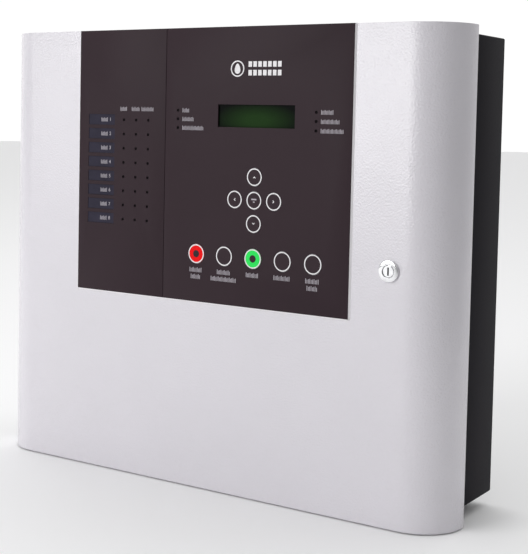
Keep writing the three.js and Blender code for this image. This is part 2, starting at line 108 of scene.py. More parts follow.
CABLE_ENTRY = (mm(-60, 138), mm(60, 158))
KNOCKOUTS = (-120, -60, 0, 60, 120)  # x in millimetres, along the top
KNOCKOUT = mm(10, 10.8, 0.4)  # inner and outer radius and depth of its groove
KNOCKOUT_Y = -31 * MM


# ---- Materials ----
def shader(name, color, roughness=0.5, metallic=0.0, **sockets):
    """A material with a Principled shader. Returns the material, its node tree and the shader node."""
    made = bpy.data.materials.new(name)
    made.use_nodes = True
    tree = made.node_tree
    node = tree.nodes["Principled BSDF"]
    node.inputs["Base Color"].default_value = (*color, 1)
    node.inputs["Roughness"].default_value = roughness
    node.inputs["Metallic"].default_value = metallic
    for socket, value in sockets.items():
        node.inputs[socket.replace("_", " ")].default_value = value
    return made, tree, node


def placed(tree, kind="POINT", **inputs):
    """The object's own coordinates, moved, turned or scaled. Returns the mapping's output."""
    coordinates = tree.nodes.new("ShaderNodeTexCoord")
    mapping = tree.nodes.new("ShaderNodeMapping")
    mapping.vector_type = kind
    for name, value in inputs.items():
        mapping.inputs[name].default_value = value
    tree.links.new(coordinates.outputs["Object"], mapping.inputs["Vector"])
    return mapping.outputs["Vector"]


def map_range(tree, value, source, target):
    """A clamped linear map of a socket's value. Returns its output."""
    node = tree.nodes.new("ShaderNodeMapRange")
    node.inputs["From Min"].default_value, node.inputs["From Max"].default_value = source
    node.inputs["To Min"].default_value, node.inputs["To Max"].default_value = target
    tree.links.new(value, node.inputs["Value"])
    return node.outputs["Result"]


def multiply(tree, one, two):
    """The product of two sockets."""
    node = tree.nodes.new("ShaderNodeMath")
    node.operation = "MULTIPLY"
    tree.links.new(one, node.inputs[0])
    tree.links.new(two, node.inputs[1])
    return node.outputs["Value"]


def noise(tree, scale, detail=2.0, stretch=(1, 1, 1)):
    """A noise texture over the object's own coordinates."""
    texture = tree.nodes.new("ShaderNodeTexNoise")
    texture.inputs["Scale"].default_value = scale
    texture.inputs["Detail"].default_value = detail
    tree.links.new(placed(tree, Scale=stretch), texture.inputs["Vector"])
    return texture


def vary_color(tree, node, texture, low, high):
    """The base colour runs between two colours with a texture."""
    ramp = tree.nodes.new("ShaderNodeValToRGB")
    ramp.color_ramp.elements[0].position = 0.3
    ramp.color_ramp.elements[1].position = 0.7
    ramp.color_ramp.elements[0].color = (*low, 1)
    ramp.color_ramp.elements[1].color = (*high, 1)
    tree.links.new(texture.outputs["Fac"], ramp.inputs["Fac"])
    tree.links.new(ramp.outputs["Color"], node.inputs["Base Color"])
    return ramp


def vary_roughness(tree, node, texture, low, high):
    """The roughness runs between two values with a texture."""
    spread = map_range(tree, texture.outputs["Fac"], (0, 1), (low, high))
    tree.links.new(spread, node.inputs["Roughness"])


def add_bump(tree, node, texture, strength, distance):
    """Relief of the given depth from a texture."""
    bump = tree.nodes.new("ShaderNodeBump")
    bump.inputs["Strength"].default_value = strength
    bump.inputs["Distance"].default_value = distance
    tree.links.new(texture.outputs["Fac"], bump.inputs["Height"])
    tree.links.new(bump.outputs["Normal"], node.inputs["Normal"])


def linear(*srgb):
    """An sRGB colour, 0 to 255, as linear values."""
    return tuple(((c / 255 + 0.055) / 1.055) ** 2.4 if c > 10 else c / 3294.6 for c in srgb)


def powder_coat(name, color, roughness, grain, depth, gloss=0.5):
    """Baked powder paint: a fine pebbled skin, a little uneven in colour and gloss."""
    made, tree, node = shader(name, color, roughness, Specular_IOR_Level=gloss)
    vary_color(tree, node, noise(tree, 14), tuple(c * 0.975 for c in color), color)
    pebble = noise(tree, grain, 3)
    vary_roughness(tree, node, pebble, roughness - 0.04, roughness + 0.04)
    add_bump(tree, node, pebble, 0.7, depth)
    return made


def plastic(name, color, roughness=0.45, grain=1800, spread=0.9, gloss=0.5):
    """Moulded plastic with a faint grain."""
    made, tree, node = shader(name, color, roughness, Specular_IOR_Level=gloss)
    vary_color(tree, node, noise(tree, 60), tuple(c * spread for c in color), color)
    grit = noise(tree, grain)
    vary_roughness(tree, node, grit, roughness - 0.05, roughness + 0.05)
    add_bump(tree, node, grit, 0.15, 0.05 * MM)
    return made


def printed_film(name, color, roughness=0.36, gloss=0.5):
    """Satin printed polyester: nearly smooth, with a soft unevenness."""
    made, tree, node = shader(name, color, roughness, Specular_IOR_Level=gloss)
    vary_color(tree, node, noise(tree, 9), tuple(c * 0.93 for c in color), color)
    fine = noise(tree, 2600)
    vary_roughness(tree, node, fine, roughness - 0.05, roughness + 0.05)
    add_bump(tree, node, fine, 0.12, 0.02 * MM)
    return made


def metal(name, color, roughness, stretch=(1, 1, 1)):
    """Plated steel, faintly streaked along its rolling direction."""
    made, tree, node = shader(name, color, roughness, 1.0)
    streaks = noise(tree, 420, 3, stretch)
    vary_color(tree, node, streaks, tuple(c * 0.86 for c in color), color)
    vary_roughness(tree, node, streaks, roughness - 0.08, roughness + 0.1)
    add_bump(tree, node, streaks, 0.08, 0.02 * MM)
    return made


def circuit_board(name, color):
    """Green solder mask with tracks showing through it."""
    made, tree, node = shader(name, color, 0.38)
    tracks = tree.nodes.new("ShaderNodeTexBrick")
    tracks.inputs["Scale"].default_value = 160
    tracks.inputs["Mortar Size"].default_value = 0.03
    tracks.inputs["Color1"].default_value = (*color, 1)
    tracks.inputs["Color2"].default_value = (*(c * 0.8 for c in color), 1)
    tracks.inputs["Mortar"].default_value = (*(min(1, c * 1.9 + 0.01) for c in color), 1)
    tree.links.new(placed(tree, Rotation=(math.pi / 2, 0, 0)), tracks.inputs["Vector"])
    tree.links.new(tracks.outputs["Color"], node.inputs["Base Color"])
    add_bump(tree, node, noise(tree, 500), 0.05, 0.05 * MM)
    return made


def display_green(name):
    """The unlit display: green in the middle, and almost black towards its ends and top."""
    made, tree, node = shader(name, linear(26, 46, 22), 0.3, Specular_IOR_Level=0.03)
    centre = middle("display_window") - Vector((0, 0, 3 * MM))
    low, high = span("display_window")
    reach = ((high.x - low.x) * 0.53, 1, (high.z - low.z) * 0.66)
    glow = tree.nodes.new("ShaderNodeTexGradient")
    glow.gradient_type = "SPHERICAL"
    tree.links.new(placed(tree, "TEXTURE", Location=centre, Scale=reach), glow.inputs["Vector"])
    ramp = vary_color(tree, node, glow, linear(7, 11, 9), linear(31, 56, 24))
    ramp.color_ramp.elements[0].position = 0.0
    ramp.color_ramp.elements[1].position = 0.75
    return made


# Each finish: its maker, its sRGB colour, and what else the maker takes.
FINISHES = {
    "door_paint": (powder_coat, (223, 220, 226), 0.2, 700, 0.5 * MM, 0.8),
    "box_paint": (powder_coat, (22, 19, 26), 0.5, 700, 0.12 * MM, 0.04),
    "film": (printed_film, (57, 46, 51), 0.38, 0.06),
    "film_key": (printed_film, (59, 48, 53), 0.38, 0.06),
    "red_key": (printed_film, (244, 8, 14), 0.36, 0.1),
    "green_key": (printed_film, (50, 235, 98), 0.36, 0.1),
    "white_print": (printed_film, (240, 238, 240), 0.5),
    "soft_print": (printed_film, (186, 180, 188), 0.5),
    "label": (plastic, (52, 49, 64), 0.55, 900, 0.7, 0.1),
    "lens": (plastic, (16, 12, 15), 0.6, 1800, 0.9, 0.05),
    "circuit_board": (circuit_board, (28, 98, 56)),
    "black_plastic": (plastic, (30, 30, 32)),
    "green_plastic": (plastic, (44, 138, 78)),
    "white_plastic": (plastic, (222, 220, 212)),
    "copper_coil": (metal, (190, 112, 62), 0.35, (1, 1, 12)),
    "core_steel": (metal, (120, 122, 126), 0.45, (1, 14, 1)),
    "battery_case": (plastic, (62, 64, 70), 0.5, 900),
    "red_lead": (plastic, (188, 26, 28), 0.4),
    "black_lead": (plastic, (24, 24, 26), 0.4),
    "ribbon": (plastic, (150, 152, 160), 0.5),
    "chrome": (metal, (246, 246, 248), 0.16),
    "zinc_steel": (metal, (196, 198, 204), 0.32, (1, 1, 6)),
    # lip: near white, brighter than the door paint, a painted highlight along the films' sides and bottom.
    "lip": (printed_film, (250, 248, 250), 0.4),
}
MATERIALS = {name: make(name, linear(*color), *rest) for name, (make, color, *rest) in FINISHES.items()}
MATERIALS["display"] = display_green("display")


def dress_cad_nodes():
    """Every CAD node takes the material of its slot in the record."""
    for entry in frame["record"]["subparts"]:
        mesh = NODES[entry["node"]].data
        mesh.materials.clear()
        mesh.materials.append(MATERIALS[entry["material_slot"]])


# ---- Mesh helpers ----
def linked(name, data):
    """A new object in the scene, of a mesh, curve, light or camera."""
    made = bpy.data.objects.new(name, data)
    bpy.context.scene.collection.objects.link(made)
    return made


def mesh_object(name, bm):
    """A new mesh object. It uses up the bmesh."""
    mesh = bpy.data.meshes.new(name)
    bmesh.ops.recalc_face_normals(bm, faces=bm.faces)
    bm.to_mesh(mesh)
    bm.free()
    return linked(name, mesh)


def evaluated_mesh(holder):
    """A new mesh with an object's modifiers or text worked out."""
    bpy.context.view_layer.update()
    return bpy.data.meshes.new_from_object(holder.evaluated_get(bpy.context.evaluated_depsgraph_get()))


def piece(name, bm, material, body, smooth=None):
    """Makes an object of a bmesh, gives it a material, and rides it on a body."""
    made = mesh_object(name, bm)
    made.data.materials.append(MATERIALS[material])
    if smooth is not None:
        smooth_by_angle(made.data, smooth)
    if body:
        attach(made, body)
    return made


def smooth_by_angle(mesh, angle):
    """Smooth shading, with edges sharper than the angle left crisp."""
    mesh.polygons.foreach_set("use_smooth", [True] * len(mesh.polygons))
    mesh.set_sharp_from_angle(angle=math.radians(angle))


def add_block(bm, low, high, bevel=0.0, segments=2):
    """A block between two corners, with rounded edges."""
    low, high = Vector(low), Vector(high)
    size = high - low
    matrix = Matrix.Translation((low + high) / 2) @ Matrix.Diagonal((*size, 1))
    made = bmesh.ops.create_cube(bm, size=1, matrix=matrix)
    if bevel:
        edges = {edge for vert in made["verts"] for edge in vert.link_edges}
        bmesh.ops.bevel(bm, geom=list(edges), offset=bevel, segments=segments, affect="EDGES", profile=0.5)


def add_turned(bm, centre, profile, sides=64, axis="Y"):
    """A turned form: profile is (radius, distance along axis) pairs from one end to the other."""
    rings = []
    for radius, along in profile:
        if radius < 1e-7:
            rings.append([bm.verts.new(turned_point(centre, axis, 0, 0, along))])
            continue
        angles = [2 * math.pi * i / sides for i in range(sides)]
        rings.append([bm.verts.new(turned_point(centre, axis, radius, angle, along)) for angle in angles])
    for one, two in zip(rings, rings[1:]):
        for i in range(sides):
            corners = [one[i % len(one)], one[(i + 1) % len(one)], two[(i + 1) % len(two)], two[i % len(two)]]
            bm.faces.new(list(dict.fromkeys(corners)))


def turned_point(centre, axis, radius, angle, along):
    """One point of a turned form."""
    a, b = radius * math.cos(angle), radius * math.sin(angle)
    offset = {"Y": (a, along, b), "Z": (a, b, along), "X": (along, a, b)}[axis]
    return Vector(centre) + Vector(offset)


def add_ring(bm, x, z, inner, outer, face):
    """A flat printed ring or disc on a face that looks along -Y."""
    profile = [(outer, 0), (outer, -PRINT), (inner, -PRINT)]
    if inner > 0:
        profile += [(inner, 0), (outer, 0)]
    add_turned(bm, (x, face, z), profile, 72)
    bmesh.ops.remove_doubles(bm, verts=bm.verts, dist=1e-8)


def add_outline(bm, points, face):
    """A flat printed shape from its outline points (x, z), on a face that looks along -Y."""
    front = bm.faces.new([bm.verts.new((x, face - PRINT, z)) for x, z in points])
    made = bmesh.ops.extrude_face_region(bm, geom=[front])
    verts = [item for item in made["geom"] if isinstance(item, bmesh.types.BMVert)]
    bmesh.ops.translate(bm, verts=verts, vec=(0, PRINT * 0.9, 0))


def add_print_block(bm, x0, x1, z0, z1, face):
    """A printed rectangle."""
    add_outline(bm, [(x0, z0), (x1, z0), (x1, z1), (x0, z1)], face)


def add_greeked(bm, left, right, z, height, face):
    """A row of plain upright bars that stands for a printed word. It holds no letters."""
    count = max(3, round((right - left) / (height * 0.44)))
    pitch = (right - left) / count
    for i in range(count):
        x0 = left + i * pitch
        tall = height * (1.4, 1.1, 1.25)[i % 3]
        add_print_block(bm, x0, x0 + pitch * 0.42, z - height * 0.7, z - height * 0.7 + tall, face)


def boolean_cut(target, cutters, smooth=30):
    """Cuts closed cutters out of a piece, and shades it by angle."""
    for tool in cutters:
        modifier = target.modifiers.new("cut", "BOOLEAN")
        modifier.operation = "DIFFERENCE"
        modifier.solver = "EXACT"
        modifier.object = tool
    mesh = evaluated_mesh(target)
    target.modifiers.clear()
    target.data = mesh
    for tool in cutters:
        bpy.data.objects.remove(tool)
    smooth_by_angle(mesh, smooth)


def cutter(build):
    """A scratch object that boolean_cut uses up."""
    bm = bmesh.new()
    build(bm)
    return mesh_object("cutter", bm)


def block_cutter(low, high):
    """A square-edged block to cut with."""
    return cutter(lambda bm: add_block(bm, low, high))


def hole_cutter(x, z, radius, ahead, behind, sides=48):
    """A round bar along Y to cut with, between two depths."""
    profile = [(0, ahead), (radius, ahead), (radius, behind), (0, behind)]
    return cutter(lambda bm: add_turned(bm, (x, 0, z), profile, sides))


# ---- The door ----
def door_outline(inset, steps=40):
    """The door's plan: straight skirts, a quarter bend each side, and the flat front."""
    half = DOOR_HIGH.x
    centre_y = DOOR_LOW.y + BEND
    radius = BEND - inset
    points = [(-half + inset, DOOR_HIGH.y)]
    for side, start in ((-1, math.pi), (1, 1.5 * math.pi)):
        for i in range(steps + 1):
            angle = start + i / steps * math.pi / 2
            x = side * (half - BEND) + radius * math.cos(angle)
            points.append((x, centre_y + radius * math.sin(angle)))
    points.append((half - inset, DOOR_HIGH.y))
    return points


def door_panel():
    """The door's skin: one bent sheet with softened edges and its cut-outs."""
    bm = bmesh.new()
    loop = door_outline(0) + door_outline(SHEET)[::-1]
    bottom = bm.faces.new([bm.verts.new((x, y, DOOR_LOW.z)) for x, y in loop])
    made = bmesh.ops.extrude_face_region(bm, geom=[bottom])
    top_verts = [item for item in made["geom"] if isinstance(item, bmesh.types.BMVert)]
    bmesh.ops.translate(bm, verts=top_verts, vec=(0, 0, DOOR_HIGH.z - DOOR_LOW.z))
    rims = [e for e in bm.edges if abs(e.verts[0].co.z - e.verts[1].co.z) < 1e-9]
    bmesh.ops.bevel(bm, geom=rims, offset=0.4 * MM, segments=2, affect="EDGES", profile=0.5)
    panel = piece("door_panel", bm, "door_paint", None)
    boolean_cut(panel, door_cutters())
    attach(panel, "door")
    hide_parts("door_shell")


def door_cutters():
    """What is cut out of the door: keys, lights, label slot, display, lock and hinge notches."""
    ahead, behind = DOOR_LOW.y - 2 * MM, DOOR_LOW.y + 5 * MM
    edge = 0.4 * MM
    cutters = [hole_cutter(middle(name).x, middle(name).z, 3.6 * MM, ahead, behind) for name in KEYS]
    cutters.append(hole_cutter(LOCK.x, LOCK.z, 6.3 * MM, ahead, behind))
    for name in [n for n in NODES if "light_bar" in n] + ["zone_label_card", "display_window"]:
        low, high = span(name)
        corner = (low.x - edge, ahead, low.z - edge)
        cutters.append(block_cutter(corner, (high.x + edge, behind, high.z + edge)))
    left = DOOR_LOW.x
    for level in ("bottom", "top"):
        lug = span(f"box_hinge_lug_{level}")[1].z
        notch_low = (left - 1 * MM, -79 * MM, lug - 5 * MM)
        cutters.append(block_cutter(notch_low, (left + 10 * MM, DOOR_HIGH.y + MM, lug + 3 * MM)))
    return cutters


def door_returns():
    """The folded returns along the door's top and bottom edges."""
    inner = DOOR_LOW.y + SHEET
    half = DOOR_HIGH.x - BEND
    for name, z0 in (("bottom", DOOR_LOW.z), ("top", DOOR_HIGH.z - SHEET)):
        bm = bmesh.new()
        add_block(bm, (-half, inner + 0.02 * MM, z0), (half, inner + 20 * MM, z0 + SHEET), 0.3 * MM)
        piece(f"door_return_{name}", bm, "door_paint", "door", 30)


def add_ramp(bm, inner, outer, ends, axis):
    """A sloping edge from (across, y) inner down to outer, drawn out between two ends along X or Z."""
    loops = []
    for end in ends:
        corners = [inner, outer, (inner[0], outer[1])]
        places = [(across, y, end) if axis == "Z" else (end, y, across) for across, y in corners]
        loops.append([bm.verts.new(place) for place in places])
    first, second = loops
    bm.faces.new(first)
    bm.faces.new(second[::-1])
    for k in range(3):
        bm.faces.new([first[k], first[(k + 1) % 3], second[(k + 1) % 3], second[k]])


def overlay_lip_painted_highlight():
    """A fine edge that slopes from the films' sides and bottom to the door, coloured near white: a painted
    highlight of the light that edge catches.
    """
    left, right, bottom = ZONE_LOW.x, FILM_HIGH.x, FILM_LOW.z
    wide, clear = 1.2 * MM, 0.03 * MM
    y0, y1 = FILM_FACE + 0.1 * MM, DOOR_LOW.y - 0.02 * MM
    bm = bmesh.new()
    add_ramp(bm, (bottom - clear, y0), (bottom - wide, y1), (left - clear, right + clear), "X")
    add_ramp(bm, (right + clear, y0), (right + wide, y1), (bottom - clear, DOOR_HIGH.z), "Z")
    add_ramp(bm, (left - clear, y0), (left - wide, y1), (bottom - clear, DOOR_HIGH.z), "Z")
    piece("overlay_lip_painted_highlight", bm, "lip", "door")


def film_sheet(name, low, high, holes, windows):
    """A printed film with round holes (x, z, radius) and windows (two corners)."""
    bm = bmesh.new()
    add_block(bm, low, high, 0.15 * MM)
    made = piece(f"{name}_film", bm, "film", None)
    ahead, behind = low.y - MM, high.y + MM
    cutters = [hole_cutter(x, z, radius, ahead, behind) for x, z, radius in holes]
    for (x0, z0), (x1, z1) in windows:
        cutters.append(block_cutter((x0, ahead, z0), (x1, behind, z1)))
    boolean_cut(made, cutters)
    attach(made, "door")
    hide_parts(name)


def films():
    """The zone film and the control film."""
    holes = [(x, zone_row(i), LIGHT_HOLE) for x in ZONE_COLUMNS for i in range(ZONE_COUNT)]
    half = ZONE_WINDOW_HEIGHT / 2
    left, right = ZONE_WINDOW
    windows = [((left, zone_row(i) - half), (right, zone_row(i) + half)) for i in range(ZONE_COUNT)]
    film_sheet("zone_overlay", ZONE_LOW, ZONE_HIGH, holes, windows)
    holes = [(x, z, LIGHT_HOLE) for x in STATUS_COLUMNS for z in STATUS_ROWS]
    for name in KEYS:
        holes.append((middle(name).x, middle(name).z, key_radius(name) + KEY_EDGE + KEY_FIT))
    half = Vector(DISPLAY_OPENING) / 2
    centre = middle("display_window")
    window = ((centre.x - half.x, centre.z - half.y), (centre.x + half.x, centre.z + half.y))
    film_sheet("control_overlay", FILM_LOW, FILM_HIGH, holes, [window])


def key_caps():
    """The ten keys: a thin cap level with the film, and its stem."""
    slots = {"key_silence_buzzer": "red_key", "key_reset": "green_key"}
    for name in KEYS:
        low, high = span(name)
        centre = middle(name)
        radius = (high.x - low.x) / 2
        back = low.y + 0.65 * MM
        profile = [
            (0, low.y), (radius - 0.12 * MM, low.y), (radius, low.y + 0.12 * MM), (radius, back),
            (3 * MM, back), (3 * MM, high.y), (0, high.y),
        ]
        bm = bmesh.new()
        add_turned(bm, (centre.x, 0, centre.z), profile, 72)
        made = piece(f"{name}_cap", bm, slots.get(name, "film_key"), name, 35)
        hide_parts(name)


# ---- Printed marks ----
def zone_row(i):
    """Height of a zone's row."""
    return ZONE_TOP - i * ZONE_PITCH


def column_marks():
    """Headings over the three columns of zone lights."""
    bm = bmesh.new()
    for left, right in ((-76.9, -70.1), (-65.6, -57.6), (-56.0, -44.1)):
        add_greeked(bm, left * MM, right * MM, 110 * MM, 2.3 * MM, FILM_FACE)
    piece("zone_column_marks", bm, "soft_print", "door")


def status_marks():
    """The lines beside the status lights."""
    bm = bmesh.new()
    lines = {-16.7: (-10.2, -6.0, 3.1), 103.8: (114.0, 119.0, 122.4)}
    for left, ends in lines.items():
        for right, z in zip(ends, STATUS_ROWS):
            add_greeked(bm, left * MM, right * MM, z, 2.3 * MM, FILM_FACE)
    piece("status_marks", bm, "soft_print", "door")


def key_label_marks():
    """One or two lines under each key of the bottom row."""
    bm = bmesh.new()
    widths = [(11.5, 9.0), (12.0, 23.0), (11.0,), (14.0,), (11.5, 9.0)]
    for name, lines in zip(ROW_KEYS, widths):
        centre = middle(name)
        for i, width in enumerate(lines):
            z = centre.z - (12.0 + 5.1 * i) * MM
            half = width / 2 * MM
            add_greeked(bm, centre.x - half, centre.x + half, z, 2.5 * MM, FILM_FACE)
    piece("key_label_marks", bm, "soft_print", "door")


def flame_points(x, z, size):
    """A plain flame outline, pointing up."""
    points = []
    for i in range(40):
        t = i / 40 * 2 * math.pi
        width = 0.42 * size * math.sin(t) * (0.62 - 0.38 * math.cos(t)) * 1.25
        lean = 0.10 * size * math.sin(2 * t)
        points.append((x + width + lean * 0.5, z + 0.5 * size * math.cos(t)))
    return points[::-1]


def heading_marks():
    """A plain flame in a ring, and two rows of plain blocks, at the head of the control film."""
    bm = bmesh.new()
    x, z = 32.4 * MM, 140.4 * MM
    add_ring(bm, x, z, 5.0 * MM, 5.9 * MM, FILM_FACE)
    add_outline(bm, flame_points(x, z, 7.4 * MM), FILM_FACE)
    left, right, count = 42 * MM, 71.4 * MM, 7
    pitch = (right - left) / count
    for level in mm(143.6, 137.4):
        for i in range(count):
            x0 = left + i * pitch
            add_print_block(bm, x0, x0 + pitch * 0.72, level - 2 * MM, level + 2 * MM, FILM_FACE)
    piece("heading_marks", bm, "white_print", "door")


def numeral(text, x, z, height, face):
    """A printed numeral as a mesh, its middle at (x, z), on a face that looks along -Y."""
    curve = bpy.data.curves.new("numeral", "FONT")
    curve.body = text
    curve.size = height * 1.42
    curve.extrude = PRINT / 2
    curve.align_x = "CENTER"
    curve.align_y = "CENTER"
    holder = linked("numeral", curve)
    mesh = evaluated_mesh(holder)
    bpy.data.objects.remove(holder)
    mesh.transform(Matrix.Translation((x, face - PRINT / 2, z)) @ Matrix.Rotation(math.pi / 2, 4, "X"))
    return mesh


def zone_labels():
    """The slip in each zone window, a little below the film's face, with a numeral and a printed line."""
    edge = 0.12 * MM
    left, right = ZONE_WINDOW
    face = FILM_FACE + 0.25 * MM
    half = ZONE_WINDOW_HEIGHT / 2 - edge
    for i in range(ZONE_COUNT):
        z = zone_row(i)
        slip = bmesh.new()
        add_block(slip, (left + edge, face, z - half), (right - edge, face + 0.6 * MM, z + half))
        piece(f"zone_slip_{i + 1}", slip, "label", "door")
        bm = bmesh.new()
        bm.from_mesh(numeral(str(i + 1), -87.2 * MM, z, 2.7 * MM, face))
        add_greeked(bm, -96.2 * MM, -89.4 * MM, z, 2.3 * MM, face)
        piece(f"zone_label_{i + 1}", bm, "soft_print", "door")


# ---- Keys ----
def key_radius(name):
    """Radius of the middle of a key's printed ring."""
    return (span(name)[1].x - middle(name).x) - KEY_EDGE


def key_rings():
    """The white ring printed on each key."""
    for name in KEYS:
        centre = middle(name)
        face = span(name)[0].y
        radius = key_radius(name)
        bm = bmesh.new()
        add_ring(bm, centre.x, centre.z, radius - RING_WIDTH / 2, radius + RING_WIDTH / 2, face)
        piece(f"{name}_ring", bm, "white_print", name)


def key_centres():
    """The dark centres of the red and the green key."""
    for name in ("key_silence_buzzer", "key_reset"):
        centre = middle(name)
        bm = bmesh.new()
        add_ring(bm, centre.x, centre.z, 0, 2.7 * MM, span(name)[0].y)
        piece(f"{name}_centre", bm, "film_key", name)


def chevron_points(x, z, size, turn):
    """A small arrowhead: turn is a quarter turn count, 0 pointing up."""
    points = [(-1, -0.5), (0, 0.5), (1, -0.5), (0.62, -0.78), (0, -0.12), (-0.62, -0.78)]
    angle = turn * math.pi / 2
    c, s = math.cos(angle), math.sin(angle)
    return [(x + size * (a * c - b * s), z + size * (a * s + b * c)) for a, b in points]


def key_symbols():
    """Arrowheads on four pad keys, and a bar and dot on the middle one."""
    for turn, name in enumerate(("key_up", "key_left", "key_down", "key_right")):
        centre = middle(name)
        bm = bmesh.new()
        add_outline(bm, chevron_points(centre.x, centre.z, 1.15 * MM, turn), span(name)[0].y)
        piece(f"{name}_symbol", bm, "white_print", name)
    centre = middle("key_enter")
    face = span("key_enter")[0].y
    bm = bmesh.new()
    for half, z0, z1 in (mm(2.2, 0.3, 1.3), mm(0.7, -1.5, -0.7)):
        add_print_block(bm, centre.x - half, centre.x + half, centre.z + z0, centre.z + z1, face)
    piece("key_enter_symbol", bm, "soft_print", "key_enter")


# ---- Lock ----
def lock_head():
    """The lock's round head and threaded barrel."""
    low, high = span("lock_barrel")
    bm = bmesh.new()
    front, seat = low.y, DOOR_LOW.y - 0.3 * MM
    head = (high.x - low.x) / 2
    profile = [
        (4.4 * MM, high.y), (4.4 * MM, front + 0.3 * MM), (4.7 * MM, front), (head - 0.8 * MM, front),
        (head - 0.25 * MM, front + 0.2 * MM), (head, front + 0.6 * MM), (head, seat), (6.0 * MM, seat),
    ]
    threads = 12
    pitch = (high.y - seat - 3 * MM) / threads
    for i in range(threads):
        at = seat + 3 * MM + i * pitch
        profile += [(6.0 * MM, at), (5.7 * MM, at + pitch / 2)]
    profile += [(6.0 * MM, high.y), (4.4 * MM, high.y)]
    add_turned(bm, (LOCK.x, 0, LOCK.z), profile, 72)
    bmesh.ops.remove_doubles(bm, verts=bm.verts, dist=1e-8)
    made = piece("lock_head", bm, "chrome", "door", 35)
    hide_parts("lock_barrel")


# ---- Box ----
def box_shell():
    """The back box: a folded steel case."""
    bm = bmesh.new()
    add_block(bm, BOX_LOW, BOX_HIGH, 1.2 * MM, 3)
    shell = piece("box_shell", bm, "box_paint", None)
    boolean_cut(shell, box_cutters())
    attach(shell, "box")
    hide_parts("back_box")


def box_cutters():
    """The hollow, the mouth, the keyholes, the cable entry and the knockouts' grooves."""
    rim = 14 * MM
    wall = Vector((SHEET, SHEET, SHEET))
    far = 2 * MM
    front, back = -SHEET - far, far
    cutters = [block_cutter(BOX_LOW + wall, BOX_HIGH - wall)]
    mouth_low = (BOX_LOW.x + rim, BOX_LOW.y - far, BOX_LOW.z + rim)
    mouth_high = (BOX_HIGH.x - rim, BOX_LOW.y + SHEET + far, BOX_HIGH.z - rim)
    cutters.append(block_cutter(mouth_low, mouth_high))
    (left, bottom), (right, top) = CABLE_ENTRY
    cutters.append(block_cutter((left, front, bottom), (right, back, top)))
    eye, half, height = KEYHOLE
    for x, z in KEYHOLES:
        cutters.append(hole_cutter(x * MM, z * MM, eye, front, back, 32))
        cutters.append(block_cutter((x * MM - half, front, z * MM), (x * MM + half, back, z * MM + height)))
    cutters += [knockout_cutter(x * MM, BOX_HIGH.z, 1) for x in KNOCKOUTS]
    cutters += [knockout_cutter(x * MM, BOX_LOW.z, -1) for x in (KNOCKOUTS[0], KNOCKOUTS[-1])]
    return cutters


def knockout_cutter(x, z, away):
    """A knockout's ring groove in the box's top or bottom. away is the way out of the box."""
    inner, outer, depth = KNOCKOUT
    groove = [(inner, -away * depth), (inner, away * MM), (outer, away * MM), (outer, -away * depth)]
    groove.append(groove[0])
    return cutter(lambda bm: add_turned(bm, (x, KNOCKOUT_Y, z), groove, 64, "Z"))


# ---- Boards and what is on them ----
# A board's component side along Y, and its body.
BOARD_PARTS = {"display_board": (1, "door"), "zone_board": (1, "door"), "main_board": (-1, "box")}


def component_face(board):
    """Which way a board's component side looks along Y, and where it lies."""
    side = BOARD_PARTS[board][0]
    low, high = span(board)
    return side, (high.y if side > 0 else low.y) + side * 0.05 * MM


def add_part(bm, board, x, z, w, h, tall, bevel=0.2):
    """A component on a board, with its middle at (x, z). Sizes are in millimetres."""
    side, face = component_face(board)
    y0, y1 = sorted((face, face + side * (tall - 0.05) * MM))
    x0, z0, x1, z1 = mm(x - w / 2, z - h / 2, x + w / 2, z + h / 2)
    add_block(bm, (x0, y0, z0), (x1, y1, z1), bevel * MM)


def add_can(bm, board, x, z, radius, tall):
    """An upright capacitor can on a board. Sizes are in millimetres."""
    side, face = component_face(board)
    lip, top = 0.5, side * tall
    profile = [(0, 0), (radius, 0), (radius, side * (tall - lip)), (radius - lip, top), (0, top)]
    add_turned(bm, (x * MM, face, z * MM), [mm(*point) for point in profile], 40)


def board_chips():
    """Integrated circuits, with their rows of legs, on all three boards."""
    places = {
        "display_board": [(0, 70, 12, 8), (40, 30, 20, 9), (80, 70, 12, 8), (104, 20, 9, 9)],
        "zone_board": [(-92, 30, 9, 16), (-92, 60, 9, 16), (-92, 90, 9, 16)],
        "main_board": [
            (-110, 60, 18, 9), (-110, 20, 18, 9), (-30, 0, 14, 9), (30, 50, 14, 9), (-120, 76, 10, 8),
        ],
    }
    for board, chips in places.items():
        body = BOARD_PARTS[board][1]
        bodies = bmesh.new()
        legs = bmesh.new()
        for x, z, w, h in chips:
            add_part(bodies, board, x, z, w, h, 2.2)
            add_legs(legs, board, x, z, w, h)
        if board == "main_board":
            low, high = span("controller_chip")
            centre = (low + high) / 2 / MM
            add_legs(legs, board, centre.x, centre.z, (high.x - low.x) / MM, (high.z - low.z) / MM)
        piece(f"{board}_chips", bodies, "black_plastic", body, 30)
        piece(f"{board}_chip_legs", legs, "zinc_steel", body)


def add_legs(bm, board, x, z, w, h):
    """Two rows of short legs above and below a chip. Sizes are in millimetres."""
    count = max(4, int(w / 1.6))
    for i in range(count):
        at = x - w / 2 + (i + 0.5) * w / count
        for edge in (-1, 1):
            add_part(bm, board, at, z + edge * (h / 2 + 0.7), 0.6, 1.4, 0.9, 0)


